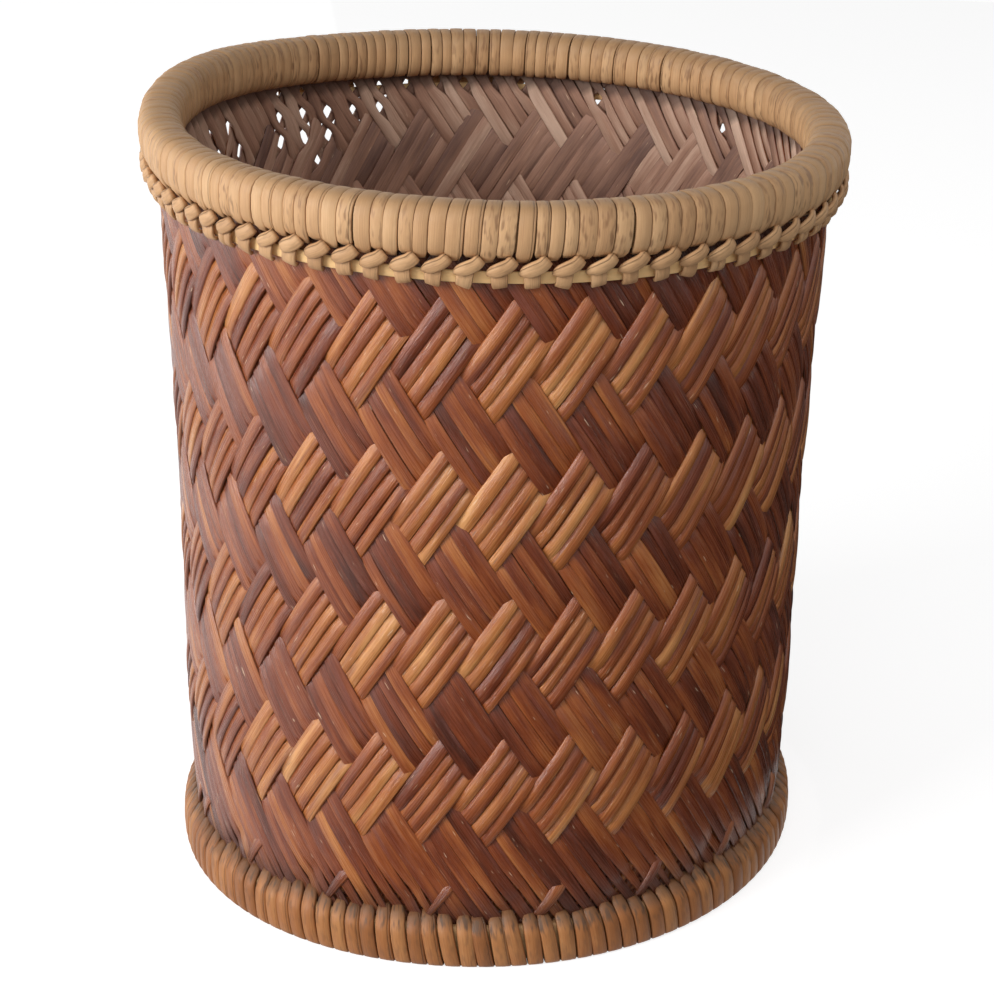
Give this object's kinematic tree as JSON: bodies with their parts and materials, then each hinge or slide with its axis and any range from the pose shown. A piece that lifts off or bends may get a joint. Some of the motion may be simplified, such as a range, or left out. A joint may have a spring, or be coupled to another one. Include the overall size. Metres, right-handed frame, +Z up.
{
  "type": "wicker waste basket",
  "caption": "Round open-topped waste basket woven from brown cane strips, with a thick lashed rim, a knotted plait under it and a lashed foot ring.",
  "frame": {"origin": "middle of the foot ring's flat underside, on the surface that the basket stands on", "axes": "+Z up along the basket's round axis, towards the open mouth; +X and +Y are alike"},
  "size_m": [0.258, 0.258, 0.29],
  "materials": {
    "brown_weave": "satin, split cane strips that vary from golden tan to red-brown and purple-brown",
    "straw_cane": "satin, straw-coloured half-round cane",
    "pale_reed": "matt, pale flat reed",
    "foot_cane": "satin, darker half-round cane",
    "hoop_wood": "matt, plain split reed, hidden in the lashing"
  },
  "bodies": {
    "root": {"woven_wall": "brown_weave", "woven_floor": "brown_weave", "rim_outer_hoop": "hoop_wood", "rim_inner_hoop": "hoop_wood", "rim_filler_cane": "hoop_wood", "rim_lashing": "straw_cane", "plait_runner": "pale_reed", "rim_plait": "straw_cane", "foot_outer_hoop": "hoop_wood", "foot_inner_hoop": "hoop_wood", "foot_lashing": "foot_cane"}
  },
  "joints": []
}
